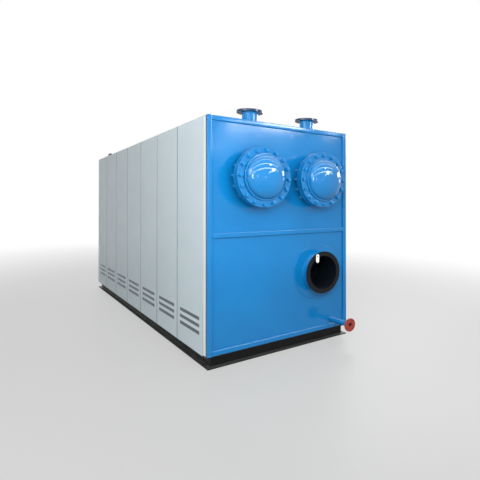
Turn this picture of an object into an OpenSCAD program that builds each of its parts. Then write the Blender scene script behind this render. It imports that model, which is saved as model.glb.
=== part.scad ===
// Packaged industrial boiler in a sheet casing: two drum ends with bolted dished covers on the
// front, two flanged nozzles on top, a flue port and a drain below, on a steel channel base.
// Millimetres. X is across the front, Y runs from the front (negative) to the rear, Z is up.
// The origin is on the floor, under the middle of the base.

/* [Casing] */
// Width over the side sheets
case_w = 1790; // [1600:5:2200]
// Length over the two end frames
case_l = 5365; // [4850:5:6000]
// Height of the roof above the floor
case_h = 2500; // [2400:5:2900]
// Thickness of the side and roof sheets
sheet_t = 2; // [1.5:0.5:4]
// Depth of the folded edges of each side and roof sheet
fold_d = 25; // [15:1:35]
// Gap at each joint between sheets
seam = 4; // [2:1:8]
// Width of the rearmost side sheet, joint to joint; the others share the rest
last_panel_w = 635; // [450:5:900]
// How far the side sheets hang below the top of the base
sheet_lap = 15; // [5:1:30]
// Space between the sheets and the insulated body
body_gap = 60; // [45:5:90]
// Depth of the header space between the front and the insulated body
header_d = 250; // [230:5:400]

/* [End frames] */
// Width of a frame bar, seen from the front
bar_w = 50; // [40:1:70]
// Depth of a frame bar
bar_d = 35; // [32:1:50]
// Radius of a bar's long edges
bar_r = 8; // [3:1:10]
// Height of the middle rail's centre
mid_rail_z = 1303; // [1220:1:1400]
// Thickness of the end sheets
end_sheet_t = 3; // [2:0.5:5]
// How far the end sheets lie behind the face of the frame
end_recess = 22; // [12:1:24]
// Gap between an end frame and the corner posts
frame_gap = 10; // [4:1:15]
// Width of a corner post along the side
post_w = 68; // [50:1:90]
// Width of a corner post across the end
post_d = 50; // [35:1:70]
// Thickness of a corner post
post_t = 3; // [2:0.5:5]

/* [Side vents] */
// Slots in each side sheet
slot_count = 3; // [1:1:6]
// Height of a slot
slot_h = 39; // [10:1:50]
// Distance from slot to slot
slot_pitch = 72.5; // [60:0.5:100]
// Height of the lowest slot's centre
slot_low_z = 313; // [220:1:500]
// Distance from a sheet's joint to the end of its slots
slot_margin = 95; // [60:1:160]
// Thickness of the wire screens behind the slots
screen_t = 1.5; // [1:0.5:3]
// How far a screen laps round its slots
screen_lap = 12; // [6:1:20]

/* [Base] */
// Height of the base channels
base_h = 120; // [100:1:160]
// Width of a channel's flanges
flange_w = 53; // [45:1:70]
// Thickness of a channel's web
web_t = 5.5; // [4:0.5:9]
// Thickness of a channel's flanges
flange_t = 9; // [6:0.5:12]
// Radius between web and flange
root_r = 9; // [4:1:12]
// Distance from an end channel's web to the middle of the nearest cross member
end_bay = 269.5; // [150:0.5:450]
// Cross members between the side channels, one of them in the middle
cross_count = 5; // [3:2:9]

/* [Drum ends] */
// Distance of each drum's axis from the middle of the front
drum_x = 376; // [350:1:420]
// Distance of the drum axes below the roof
drum_drop = 608; // [520:1:760]
// Wall of the drum's end
drum_wall = 12; // [8:1:16]
// Diameter of the drum flange and of the cover's flange
cover_od = 620; // [600:1:660]
// How far the two flanges stand out round the drum
flange_overhang = 81.5; // [75:0.5:100]
// Thickness of each of the two flanges
cover_t = 40; // [25:1:50]
// Distance of the cover's bolt circle from the edge of the flange
cover_edge = 32; // [24:0.5:40]
// Bolts round the cover
cover_bolts = 16; // [8:1:20]
// Bolt holes of the cover
cover_hole_d = 27; // [20:1:30]
// Turn of the left cover's bolts, clockwise from one at the top
left_bolt_turn = 3; // [0:0.5:11]
// Thickness of the gasket
gasket_t = 6; // [2:0.5:8]
// Space between the gasket and the bolt holes
gasket_edge = 8; // [4:1:15]
// How far the face of the cover's flange stands ahead of the frame
cover_reach = 210; // [180:1:280]
// Height of the neck under the dished head
head_skirt = 12; // [10:1:40]
// How far the rim of the dished head stands out round the neck
rim_out = 11.5; // [7:0.5:18]
// Width of the rim, from its edge to the foot of the dish
rim_w = 16; // [12:0.5:20]
// Height of the rim
rim_h = 10; // [8:1:16]
// Chamfer of the rim's edges
rim_edge = 3; // [1:0.5:4.5]
// Depth of the dish
head_depth = 108; // [60:1:140]
// Leg of the weld round the neck
weld_leg = 8; // [5:1:10]

/* [Top nozzles] */
// Outside diameter of the nozzle pipe
nozzle_d = 168.3; // [140:0.1:180]
// Wall of the nozzle pipe
nozzle_wall = 7.15; // [4:0.05:14]
// Space between the end frame and the nozzle pipe
nozzle_back = 3; // [2:1:20]
// Height of the nozzle's face above the roof
nozzle_rise = 125; // [90:1:250]
// Diameter of the nozzle flange
nozzle_flange_d = 280; // [275:1:300]
// Thickness of the nozzle flange without its raised face
nozzle_flange_t = 23; // [16:1:30]
// Space between the raised face and the bolt holes
nozzle_face_gap = 3.65; // [1:0.05:12]
// Height of the raised face
nozzle_face_h = 2; // [1:0.5:4]
// Distance of the bolt circle from the edge of the nozzle flange
nozzle_edge = 19.35; // [15:0.05:22]
// Bolt holes round the nozzle flange
nozzle_bolts = 8; // [4:4:12]
// Diameter of a bolt hole in the nozzle flange
nozzle_hole_d = 22; // [16:1:24]

/* [Flue port] */
// Distance of the flue's axis from the right side of the casing
flue_inset = 448; // [420:1:500]
// Height of the flue's axis
flue_z = 825; // [700:1:900]
// Bore of the flue
flue_bore_d = 384; // [350:1:390]
// Wall of the flue stub
flue_wall = 8; // [4:1:10]
// How far the flue's face stands ahead of the frame
flue_reach = 115; // [90:1:200]
// Diameter of the flue's ring flange
flue_flange_d = 484; // [450:1:520]
// Thickness of the ring flange
flue_flange_t = 10; // [6:1:16]
// Diameter of the collar on the front sheet
collar_d = 640; // [600:1:660]
// Thickness of the collar
collar_t = 6; // [3:1:10]

/* [Drain] */
// Distance of the drain's axis from the right side of the casing
drain_inset = 240; // [190:1:320]
// Height of the drain's axis
drain_z = 225; // [215:1:240]
// Outside diameter of the drain pipe
drain_d = 60.3; // [48:0.1:64]
// Wall of the drain pipe
drain_wall = 3.9; // [2.5:0.1:8]
// How far the drain's face stands ahead of the frame
drain_reach = 345; // [250:1:400]
// Diameter of the drain flange
drain_flange_d = 150; // [146:1:170]
// Thickness of the drain flange
drain_flange_t = 19; // [14:1:24]
// Distance of the bolt circle from the edge of the drain flange
drain_edge = 14.65; // [11:0.05:22]
// Bolt holes round the drain flange
drain_bolts = 4; // [4:1:8]
// Diameter of a bolt hole in the drain flange
drain_hole_d = 18; // [14:1:20]

/* [Roof fittings] */
// Distance of the two front pins from the side of the casing
pin_inset = 87; // [60:1:200]
// Distance of the front pins behind the face of the frame
pin_y = 100; // [80:1:300]
// Diameter of a pin
pin_d = 14; // [8:1:20]
// Height of a pin
pin_h = 45; // [20:1:80]
// Distance of the rear lugs from the rear face of the frame
lug_y = 830; // [700:10:1200]
// Length of a lug
lug_l = 220; // [100:5:300]
// Height of a lug
lug_h = 32; // [20:1:60]
// Thickness of a lug
lug_t = 12; // [6:1:20]
// Hole through a lug
lug_hole_d = 16; // [8:1:20]
// Distance of a lug from the side of the casing
lug_inset = 6; // [2:1:20]

/* [Hidden] */

$fn = 96;
// Steps of a dish from its rim to its crown
dish_steps = 24;

// Paint and metal colours, as they look on the boiler
blue = "#2f7fc8";
white = "#d5dcdc";
black = "#17181a";
red = "#a23632";
grey = "#4a5054";
lagging = "#6f7274";

// Clearance of a pipe in the hole of a sheet, and of round pieces seated in each other
hole_gap = 2;
fit_gap = 0.3;
// A cut runs past the face that it opens by this much
past = 1;

front_y = -case_l / 2;
rear_y = case_l / 2;
side_x = case_w / 2;
// The side sheets hang outside the flanges of the base
base_x = side_x - sheet_t;
roof_under = case_h - sheet_t;
panel_count = 7;
// The first joint along the side lies behind the frame, the gap and the post
run_in = bar_d + frame_gap + post_w + seam / 2;
run_l = case_l - 2 * run_in;
panel_w = (run_l - last_panel_w) / (panel_count - 1);

first_cross_y = front_y + flange_w + end_bay;
cross_pitch = -2 * first_cross_y / (cross_count - 1);

body_x = side_x - body_gap;
body_front = front_y + header_d;
body_rear = rear_y - body_gap;
body_top = case_h - body_gap;

bay_w = case_w - 2 * bar_w;
top_rail_z = case_h - bar_w;
low_rail_z = base_h;
mid_rail_low = mid_rail_z - bar_w / 2;
upper_bay_z = mid_rail_low + bar_w;
lower_bay_z = base_h + bar_w;

drum_z = case_h - drum_drop;
drum_od = cover_od - 2 * flange_overhang;
drum_r = drum_od / 2;
cover_face = front_y - cover_reach;
gasket_face = cover_face + cover_t;
drum_face = gasket_face + gasket_t;
cover_pcd = cover_od - 2 * cover_edge;
gasket_od = cover_pcd - cover_hole_d - 2 * gasket_edge;

nozzle_bore_d = nozzle_d - 2 * nozzle_wall;
nozzle_y = front_y + bar_d + nozzle_back + nozzle_d / 2;
nozzle_pcd = nozzle_flange_d - 2 * nozzle_edge;
nozzle_face_d = nozzle_pcd - nozzle_hole_d - 2 * nozzle_face_gap;
nozzle_face = case_h + nozzle_rise;
nozzle_seat = nozzle_face - nozzle_face_h - nozzle_flange_t;

flue_x = side_x - flue_inset;
flue_d = flue_bore_d + 2 * flue_wall;
flue_face = front_y - flue_reach;
drain_x = side_x - drain_inset;
drain_bore_d = drain_d - 2 * drain_wall;
drain_pcd = drain_flange_d - 2 * drain_edge;
drain_face = front_y - drain_reach;
drain_seat = drain_face + drain_flange_t;
pin_x = side_x - pin_inset;

// Width and start of side sheet i, counted from the front
function panel_span(i) = i < panel_count ? panel_w : last_panel_w;
function panel_start(i) = front_y + run_in + (i - 1) * panel_w;
// Height of slot k above the floor
function slot_z(k) = slot_low_z + k * slot_pitch;

// Points of a quarter ellipse from the rim (r, 0) to the crown (0, depth)
function dish_points(r, depth, rise) = [
    for (i = [0 : dish_steps])
        [r * cos(90 * i / dish_steps), rise + depth * sin(90 * i / dish_steps)]
];

// Lays a shape that stands along Z so that it points out of the front, at face height y
module facing_front(x, y, z) {
    translate([x, y, z]) rotate([90, 0, 0]) children();
}

// Puts one copy of a shape at each of n places on a circle
module ring_of(n, pcd, turn = 0) {
    for (i = [0 : n - 1]) rotate([0, 0, turn + 360 * i / n]) translate([pcd / 2, 0, 0]) children();
}

module tube(d_out, d_in, h) {
    difference() {
        cylinder(d = d_out, h = h);
        translate([0, 0, -past]) cylinder(d = d_in, h = h + 2 * past);
    }
}

// Rectangle with four round corners, its low corner at the origin
module round_rect(w, h, r) {
    union() {
        translate([r, 0]) square([w - 2 * r, h]);
        translate([0, r]) square([w, h - 2 * r]);
        for (x = [r, w - r]) for (y = [r, h - r]) translate([x, y]) circle(r = r);
    }
}

// Section of a base channel: the web stands at the back, the flanges point along +X
module channel_section() {
    inner_h = base_h - 2 * flange_t;
    union() {
        square([web_t, base_h]);
        square([flange_w, flange_t]);
        translate([0, base_h - flange_t]) square([flange_w, flange_t]);
        difference() {
            translate([web_t, flange_t]) square([root_r, inner_h]);
            translate([web_t + root_r, flange_t + root_r]) circle(r = root_r);
            translate([web_t + root_r, base_h - flange_t - root_r]) circle(r = root_r);
            translate([web_t, flange_t + root_r]) square([root_r + past, inner_h - 2 * root_r]);
        }
    }
}

// Channel of length l along Y with its flange tips at x = reach, both ends mitred
module mitred_channel(l, reach) {
    back = reach - flange_w - past;
    tip = reach + past;
    intersection() {
        translate([reach - flange_w, l / 2, 0]) rotate([90, 0, 0]) linear_extrude(l) channel_section();
        translate([0, 0, -past]) linear_extrude(base_h + 2 * past) polygon([
            [back, -l / 2 + reach - back], [tip, -l / 2 + reach - tip],
            [tip, l / 2 - reach + tip], [back, l / 2 - reach + back]
        ]);
    }
}

module side_channel() {
    color(black) mitred_channel(case_l, base_x);
}

module end_channel() {
    color(black) rotate([0, 0, 90]) mitred_channel(2 * base_x, case_l / 2);
}

// Channels across the base, evenly spaced, their undersides on the floor
module base_cross_members() {
    span = 2 * (base_x - flange_w);
    color(black) for (i = [0 : cross_count - 1])
        translate([-span / 2, first_cross_y + i * cross_pitch - flange_w / 2, 0])
            rotate([90, 0, 90]) linear_extrude(span) channel_section();
}

// The lagged pressure body that fills the casing behind the header space
module insulated_body() {
    color(lagging) translate([-body_x, body_front, base_h])
        cube([2 * body_x, body_rear - body_front, body_top - base_h]);
}

// Side sheet i on the +X side: an outer skin with four folded edges and the vent slots
module side_panel(i) {
    w = panel_span(i) - seam;
    low = base_h - sheet_lap;
    color(white) translate([side_x, panel_start(i) + seam / 2, 0]) difference() {
        union() {
            translate([-sheet_t, 0, low]) cube([sheet_t, w, roof_under - low]);
            translate([-fold_d, 0, base_h]) cube([fold_d, sheet_t, roof_under - base_h]);
            translate([-fold_d, w - sheet_t, base_h]) cube([fold_d, sheet_t, roof_under - base_h]);
            translate([-fold_d, 0, base_h]) cube([fold_d, w, sheet_t]);
            translate([-fold_d, 0, roof_under - sheet_t]) cube([fold_d, w, sheet_t]);
        }
        for (k = [0 : slot_count - 1])
            translate([-sheet_t - past, slot_margin - seam / 2, slot_z(k) - slot_h / 2])
                cube([sheet_t + 2 * past, w + seam - 2 * slot_margin, slot_h]);
    }
}

module left_panel(i) {
    mirror([1, 0, 0]) side_panel(i);
}

// Screens against the inside of the sheets, one behind each set of slots
module vent_screens() {
    low = slot_z(0) - slot_h / 2 - screen_lap;
    high = slot_z(slot_count - 1) + slot_h / 2 + screen_lap;
    color(grey) for (s = [0, 1]) mirror([s, 0, 0]) for (i = [1 : panel_count])
        translate([side_x - sheet_t - screen_t, panel_start(i) + slot_margin - screen_lap, low])
            cube([screen_t, panel_span(i) - 2 * (slot_margin - screen_lap), high - low]);
}

// Angle post at the +X front corner: one leg on the side, one across the end
module corner_post() {
    h = roof_under - base_h;
    translate([side_x, front_y + bar_d + frame_gap, base_h]) {
        translate([-post_t, 0, 0]) cube([post_t, post_w, h]);
        translate([-post_d, 0, 0]) cube([post_d, post_t, h]);
    }
}

module front_corner_posts() {
    color(white) for (s = [0, 1]) mirror([s, 0, 0]) corner_post();
}

module rear_corner_posts() {
    mirror([0, 1, 0]) front_corner_posts();
}

// Roof sheets with an edge folded down at each joint; the first is notched round the nozzles
module roof_sheets() {
    lip_x = side_x - post_d - seam;
    lip_z = roof_under - fold_d;
    first_y = front_y + bar_d + frame_gap;
    color(white) difference() {
        for (i = [1 : panel_count]) {
            y0 = i == 1 ? first_y : panel_start(i) + seam / 2;
            y1 = i == panel_count ? -first_y : panel_start(i + 1) - seam / 2;
            translate([-side_x, y0, roof_under]) cube([case_w, y1 - y0, sheet_t]);
            for (y = [y0, y1 - sheet_t])
                translate([-lip_x, y, lip_z]) cube([2 * lip_x, sheet_t, fold_d + sheet_t]);
        }
        for (s = [-1, 1]) translate([s * drum_x, nozzle_y, lip_z - past]) nozzle_notch();
    }
}

// Round hole for a nozzle pipe, open towards the front edge of the roof
module nozzle_notch() {
    h = fold_d + sheet_t + 2 * past;
    r = nozzle_d / 2 + hole_gap;
    union() {
        cylinder(r = r, h = h);
        translate([-r, -r - frame_gap, 0]) cube([2 * r, r + frame_gap, h]);
    }
}

// Two upright pins near the front corners and two drilled lugs further back
module roof_fittings() {
    color(grey) for (s = [-1, 1]) {
        translate([s * pin_x, front_y + pin_y, case_h]) cylinder(d = pin_d, h = pin_h);
        translate([s * (side_x - lug_inset) - (s > 0 ? lug_t : 0), rear_y - lug_y - lug_l, case_h])
            roof_lug();
    }
}

// Flat bar lug with round shoulders and a hole through it
module roof_lug() {
    rotate([90, 0, 90]) linear_extrude(lug_t) difference() {
        union() {
            square([lug_l, lug_h / 2]);
            translate([lug_h / 2, 0]) square([lug_l - lug_h, lug_h]);
            for (y = [lug_h / 2, lug_l - lug_h / 2]) translate([y, lug_h / 2]) circle(d = lug_h);
        }
        translate([lug_l / 2, lug_h / 2]) circle(d = lug_hole_d);
    }
}

// Upright bar of an end frame, its low corner at the origin
module upright_bar(h) {
    linear_extrude(h) round_rect(bar_w, bar_d, bar_r);
}

// Level bar between the stiles, its low corner at the origin
module level_bar(l) {
    translate([l, 0, 0]) rotate([90, 0, -90]) linear_extrude(l) round_rect(bar_d, bar_w, bar_r);
}

module front_stiles() {
    color(blue) for (x = [-side_x, side_x - bar_w])
        translate([x, front_y, base_h]) upright_bar(case_h - base_h);
}

module front_rails() {
    color(blue) for (z = [low_rail_z, mid_rail_low, top_rail_z])
        translate([-bay_w / 2, front_y, z]) rail_bar();
}

// Rail of the front frame: a level bar whose depth runs back from the face
module rail_bar() {
    translate([0, bar_d, 0]) level_bar(bay_w);
}

module rear_stiles() {
    mirror([0, 1, 0]) front_stiles();
}

module rear_rails() {
    mirror([0, 1, 0]) front_rails();
}

// Sheet between two rails of an end frame
module end_sheet(z0, z1) {
    translate([-bay_w / 2, front_y + end_recess, z0]) cube([bay_w, end_sheet_t, z1 - z0]);
}

// Hole through a front sheet for a pipe of diameter d
module sheet_hole(x, z, d) {
    facing_front(x, front_y + end_recess + end_sheet_t + past, z)
        cylinder(d = d + 2 * hole_gap, h = end_sheet_t + 2 * past);
}

module front_upper_sheet() {
    color(blue) difference() {
        end_sheet(upper_bay_z, top_rail_z);
        for (s = [-1, 1]) sheet_hole(s * drum_x, drum_z, drum_od);
    }
}

module front_lower_sheet() {
    color(blue) difference() {
        end_sheet(lower_bay_z, mid_rail_low);
        sheet_hole(flue_x, flue_z, flue_d);
        sheet_hole(drain_x, drain_z, drain_d);
    }
}

module rear_upper_sheet() {
    color(blue) mirror([0, 1, 0]) end_sheet(upper_bay_z, top_rail_z);
}

module rear_lower_sheet() {
    color(blue) mirror([0, 1, 0]) end_sheet(lower_bay_z, mid_rail_low);
}

// Bolt holes through a cover flange or a drum flange; one hole is at the top, but for the turn
module cover_holes(s) {
    first = s < 0 ? 90 - left_bolt_turn : 90;
    translate([0, 0, -past])
        ring_of(cover_bolts, cover_pcd, first) cylinder(d = cover_hole_d, h = cover_t + 2 * past);
}

// End of a drum: a pipe out of the insulated body, with a flange on it and a hole for the nozzle
module drum_end(s) {
    neck_l = body_front - drum_face;
    color(blue) difference() {
        facing_front(s * drum_x, body_front, drum_z) difference() {
            union() {
                cylinder(d = drum_od, h = neck_l);
                translate([0, 0, neck_l - cover_t]) cylinder(d = cover_od, h = cover_t);
            }
            translate([0, 0, -past]) cylinder(d = drum_od - 2 * drum_wall, h = neck_l + 2 * past);
            translate([0, 0, neck_l - cover_t]) cover_holes(s);
        }
        translate([s * drum_x, nozzle_y, drum_z]) cylinder(d = nozzle_bore_d, h = drum_r + past);
    }
}

module cover_gaskets() {
    color(grey) for (s = [-1, 1])
        facing_front(s * drum_x, drum_face, drum_z) tube(gasket_od, drum_od - 2 * drum_wall, gasket_t);
}

// Cover: a flat flange, a neck welded to its face, and a hollow dished head with a rim round it
module drum_cover(s) {
    inner_r = drum_r - drum_wall;
    rim_low = cover_t + head_skirt;
    foot = rim_low + rim_h;
    rim_r = drum_r + rim_out;
    inside = dish_points(inner_r, head_depth - drum_wall, foot);
    color(blue) facing_front(s * drum_x, gasket_face, drum_z) difference() {
        rotate_extrude() polygon(concat(
            [[inner_r, 0], [cover_od / 2, 0], [cover_od / 2, cover_t]],
            [[drum_r + weld_leg, cover_t], [drum_r, cover_t + weld_leg]],
            [[drum_r, rim_low], [rim_r - rim_edge, rim_low], [rim_r, rim_low + rim_edge]],
            [[rim_r, foot - rim_edge], [rim_r - rim_edge, foot]],
            dish_points(rim_r - rim_w, head_depth, foot),
            [for (i = [dish_steps : -1 : 0]) inside[i]]
        ));
        cover_holes(s);
    }
}

// Nozzle: a pipe that stands on the drum's end, with a drilled flange on top
module nozzle(s) {
    pipe_foot = drum_z;
    color(blue) difference() {
        translate([s * drum_x, nozzle_y, 0]) union() {
            translate([0, 0, pipe_foot]) cylinder(d = nozzle_d, h = nozzle_face - pipe_foot);
            translate([0, 0, nozzle_seat]) cylinder(d = nozzle_flange_d, h = nozzle_flange_t);
            translate([0, 0, nozzle_seat]) cylinder(d = nozzle_face_d, h = nozzle_face - nozzle_seat);
        }
        translate([s * drum_x, nozzle_y, pipe_foot - past])
            cylinder(d = nozzle_bore_d, h = nozzle_face - pipe_foot + 2 * past);
        translate([s * drum_x, nozzle_y, nozzle_seat - past])
            ring_of(nozzle_bolts, nozzle_pcd, 180 / nozzle_bolts)
                cylinder(d = nozzle_hole_d, h = nozzle_flange_t + 2 * past);
        facing_front(s * drum_x, body_front, drum_z)
            cylinder(r = drum_r + fit_gap, h = body_front - drum_face);
    }
}

module flue_stub() {
    back_l = body_front - flue_face - flue_flange_t;
    color(blue) facing_front(flue_x, body_front, flue_z) tube(flue_d, flue_bore_d, back_l);
}

module flue_flange() {
    color(black) facing_front(flue_x, flue_face + flue_flange_t, flue_z)
        tube(flue_flange_d, flue_bore_d, flue_flange_t);
}

module flue_collar() {
    color(blue) facing_front(flue_x, front_y + end_recess, flue_z)
        tube(collar_d, flue_d + 2 * fit_gap, collar_t);
}

module drain_pipe() {
    color(blue) facing_front(drain_x, body_front, drain_z)
        tube(drain_d, drain_bore_d, body_front - drain_seat);
}

module drain_flange() {
    color(red) facing_front(drain_x, drain_seat, drain_z) difference() {
        tube(drain_flange_d, drain_bore_d, drain_flange_t);
        translate([0, 0, -past]) ring_of(drain_bolts, drain_pcd, 180 / drain_bolts)
            cylinder(d = drain_hole_d, h = drain_flange_t + 2 * past);
    }
}

mirror([1, 0, 0]) side_channel();  // base_channel_left
side_channel();  // base_channel_right
mirror([0, 1, 0]) end_channel();  // base_channel_front
end_channel();  // base_channel_rear
base_cross_members();
insulated_body();
for (i = [1 : panel_count]) {
    left_panel(i);
    side_panel(i);
}
vent_screens();
front_corner_posts();
rear_corner_posts();
roof_sheets();
roof_fittings();
front_stiles();
front_rails();
front_upper_sheet();
front_lower_sheet();
rear_stiles();
rear_rails();
rear_upper_sheet();
rear_lower_sheet();
drum_end(-1);  // left_drum_end
drum_end(1);  // right_drum_end
cover_gaskets();
drum_cover(-1);  // left_cover
drum_cover(1);  // right_cover
nozzle(-1);  // left_nozzle
nozzle(1);  // right_nozzle
flue_stub();
flue_flange();
flue_collar();
drain_pipe();
drain_flange();
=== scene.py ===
"""Paint, welds, bolting, screens, light and camera for the packaged boiler.

Metres throughout, in the frame of the solids: X across the front, Y from the front to the rear,
Z up, the floor at Z = 0. A pattern's scale is worked out from a size in millimetres.
"""

import logging
import math
from collections.abc import Callable
from dataclasses import dataclass, replace
from enum import Enum
from typing import Any

import bmesh
import bpy
import numpy as np
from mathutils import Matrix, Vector


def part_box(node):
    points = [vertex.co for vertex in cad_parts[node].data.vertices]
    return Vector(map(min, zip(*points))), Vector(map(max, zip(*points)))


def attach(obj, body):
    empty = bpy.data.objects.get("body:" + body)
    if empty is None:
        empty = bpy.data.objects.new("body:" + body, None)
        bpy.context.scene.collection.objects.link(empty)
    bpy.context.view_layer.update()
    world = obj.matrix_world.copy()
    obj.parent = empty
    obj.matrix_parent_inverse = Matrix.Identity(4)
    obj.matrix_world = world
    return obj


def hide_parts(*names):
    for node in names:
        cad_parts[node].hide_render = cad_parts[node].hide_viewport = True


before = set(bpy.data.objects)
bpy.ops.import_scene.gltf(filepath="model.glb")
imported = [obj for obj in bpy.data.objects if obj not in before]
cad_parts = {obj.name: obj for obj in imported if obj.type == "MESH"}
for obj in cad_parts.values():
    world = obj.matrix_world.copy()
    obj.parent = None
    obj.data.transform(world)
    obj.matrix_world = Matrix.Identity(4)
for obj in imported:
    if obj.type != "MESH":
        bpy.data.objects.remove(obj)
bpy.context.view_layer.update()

log = logging.getLogger("boiler")

BODY = "root"
# Points closer than this are one point.
MERGE = 1e-5
# Nearly all of a noise lies in this range.
NOISE_SPAN = (0.3, 0.7)
# Z of a face's normal where dust starts to lie, and where it lies in full.
DUST_SPAN = (0.5, 0.98)
WHITE = (1, 1, 1, 1)


# Shader helpers


def linear(colour: str) -> tuple[float, float, float, float]:
    """Turns an sRGB hex colour into linear light.

    Args:
        colour: the colour as #rrggbb.

    Returns:
        Red, green and blue in linear light, and an alpha of 1.
    """
    srgb = np.array([int(colour[i : i + 2], 16) for i in (1, 3, 5)]) / 255
    rgb = np.where(srgb <= 0.04045, srgb / 12.92, ((srgb + 0.055) / 1.055) ** 2.4)
    return (*(float(c) for c in rgb), 1.0)


def per_metre(size_mm: float) -> float:
    """Scale of a pattern whose features are size_mm across, on coordinates in metres."""
    return 1000 / size_mm


def add_node(
    tree: bpy.types.NodeTree,
    kind: str,
    settings: dict[str, Any] | None = None,
    inputs: dict[str | int, Any] | None = None,
) -> bpy.types.Node:
    """Adds one shader node with its settings and links.

    Args:
        tree: the node tree that takes the node.
        kind: the node's type.
        settings: the node's own settings by name.
        inputs: by socket name or number, a value, or the output socket that feeds it.

    Returns:
        The new node.
    """
    node = tree.nodes.new(kind)
    for key, value in (settings or {}).items():
        setattr(node, key, value)
    for key, value in (inputs or {}).items():
        if isinstance(value, bpy.types.NodeSocket):
            tree.links.new(value, node.inputs[key])
        else:
            node.inputs[key].default_value = value
    return node


def maths(tree: Any, operation: str, first: Any, second: Any) -> Any:
    """Output of one operation on two values or sockets."""
    inputs = {0: first, 1: second}
    return add_node(tree, "ShaderNodeMath", {"operation": operation}, inputs).outputs[0]


def mapped(tree: Any, value: Any, limits: tuple[float, ...], **settings: Any) -> Any:
    """A value spread from the first two limits over the last two, and kept within them."""
    inputs = dict(zip(("Value", "From Min", "From Max", "To Min", "To Max"), (value, *limits)))
    return add_node(tree, "ShaderNodeMapRange", settings, inputs).outputs["Result"]


# Finishes


@dataclass(frozen=True)
class Coat:
    """A material in the making: its nodes, its shader, and coordinates in metres."""

    tree: Any
    shader: Any
    coords: Any

    def noise(self, size_mm: float, detail: float) -> Any:
        """Noise whose features are size_mm across."""
        size = {"Vector": self.coords, "Scale": per_metre(size_mm), "Detail": detail}
        return add_node(self.tree, "ShaderNodeTexNoise", inputs=size).outputs["Fac"]

    def clouds(self, size_mm: float, low: float, high: float) -> Any:
        """Noise spread from a value in its hollows to a value on its heights."""
        return mapped(self.tree, self.noise(size_mm, 3.0), (*NOISE_SPAN, low, high))

    def blend(self, share: Any, first: Any, second: Any) -> Any:
        """Mixes two colours.

        Args:
            share: how much of the second colour shows, as a value or a socket.
            first: hex colour or socket.
            second: hex colour or socket.

        Returns:
            The socket that carries the mixed colour.
        """
        ends = [linear(c) if isinstance(c, str) else c for c in (first, second)]
        # Inputs 6 and 7 and output 2 are the node's colours.
        sockets = {0: share, 6: ends[0], 7: ends[1]}
        return add_node(self.tree, "ShaderNodeMix", {"data_type": "RGBA"}, sockets).outputs[2]

    def settled(self, most: float) -> Any:
        """Dust that has settled on what faces up: none on a wall, uneven on a level face.

        Args:
            most: share of dust on a level face.

        Returns:
            The socket that carries the share of dust.
        """
        normal = add_node(self.tree, "ShaderNodeNewGeometry").outputs["Normal"]
        up = add_node(self.tree, "ShaderNodeSeparateXYZ", inputs={0: normal}).outputs["Z"]
        level = mapped(self.tree, up, (*DUST_SPAN, 0.0, most))
        return maths(self.tree, "MULTIPLY", level, self.clouds(60, 0.45, 1.0))

    def finish(self, tone: Any, gloss: Any, *layers: tuple[float, float]) -> None:
        """Links the colour, the roughness and the relief, which is noises laid over each other.

        Args:
            tone: socket of the colour.
            gloss: socket of the roughness.
            layers: for each noise the size of a bump and its height, in millimetres.
        """
        relief = {}
        for size_mm, height_mm in layers:
            distance = 2 * height_mm / 1000
            bump = {"Height": self.noise(size_mm, 1.0), "Strength": 1.0, "Distance": distance}
            bump = add_node(self.tree, "ShaderNodeBump", inputs=bump | relief)
            relief = {"Normal": bump.outputs["Normal"]}
        for socket, value in ({"Base Color": tone, "Roughness": gloss} | relief).items():
            self.tree.links.new(value, self.shader.inputs[socket])


@dataclass(frozen=True)
class Finish:
    """A surface finish. The subclasses say what it is made of and what that gives the eye.

    Args:
        name: name of the material.
        slot: the record's material slot that it belongs to; not used.
        colour: main colour.
        roughness: mean roughness of the surface.
        ior: refractive index of the film.
    """

    name: str
    slot: str
    colour: str
    roughness: float
    ior: float = 1.5

    def constants(self) -> dict[str, float]:
        """Values that are the same all over the surface, by shader socket."""
        return {"IOR": self.ior}

    def pattern(self, coat: Coat) -> None:
        """Links what varies over the surface to the shader."""
        raise NotImplementedError

    def material(self) -> bpy.types.Material:
        """The finish's material, made on first use."""
        return bpy.data.materials.get(self.name) or self.make()

    def make(self) -> bpy.types.Material:
        """Makes the material: the constants on the shader, then the pattern.

        Returns:
            The new material.
        """
        material = bpy.data.materials.new(self.name)
        material.use_nodes = True
        tree = material.node_tree
        tree.nodes.clear()
        coords = add_node(tree, "ShaderNodeTexCoord").outputs["Object"]
        shader = add_node(tree, "ShaderNodeBsdfPrincipled", inputs=self.constants())
        self.pattern(Coat(tree, shader, coords))
        add_node(tree, "ShaderNodeOutputMaterial", inputs={"Surface": shader.outputs[0]})
        return material


@dataclass(frozen=True)
class MachineEnamel(Finish):
    """Alkyd machine enamel, sprayed: a deep glossy coat with a fine orange peel, a slow drift in
    tone, and thin dust on level faces. On thin sheet the metal under it is a little wavy. Its
    film reflects more, with a higher index, where it is thick and has flowed well.

    Args:
        sheet_wave_mm: height of the waves of the metal under the coat.
        dust: colour of the dust.
        deep: the darker end of the drift in tone.
    """

    ior: float = 1.42
    sheet_wave_mm: float = 0.0
    dust: str = "#a9b2b8"
    deep: str = "#075a94"

    def pattern(self, coat: Coat) -> None:
        """Orange peel is 2 to 4 mm wide; it is drawn 9 mm wide so that it shows."""
        tone = coat.blend(coat.clouds(420, 0.0, 0.3), self.colour, self.deep)
        tone = coat.blend(coat.settled(0.22), tone, self.dust)
        gloss = coat.clouds(130, 0.85 * self.roughness, 1.25 * self.roughness)
        waves = [(310.0, self.sheet_wave_mm)] if self.sheet_wave_mm else []
        coat.finish(tone, gloss, *waves, (9.0, 0.004))


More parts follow.
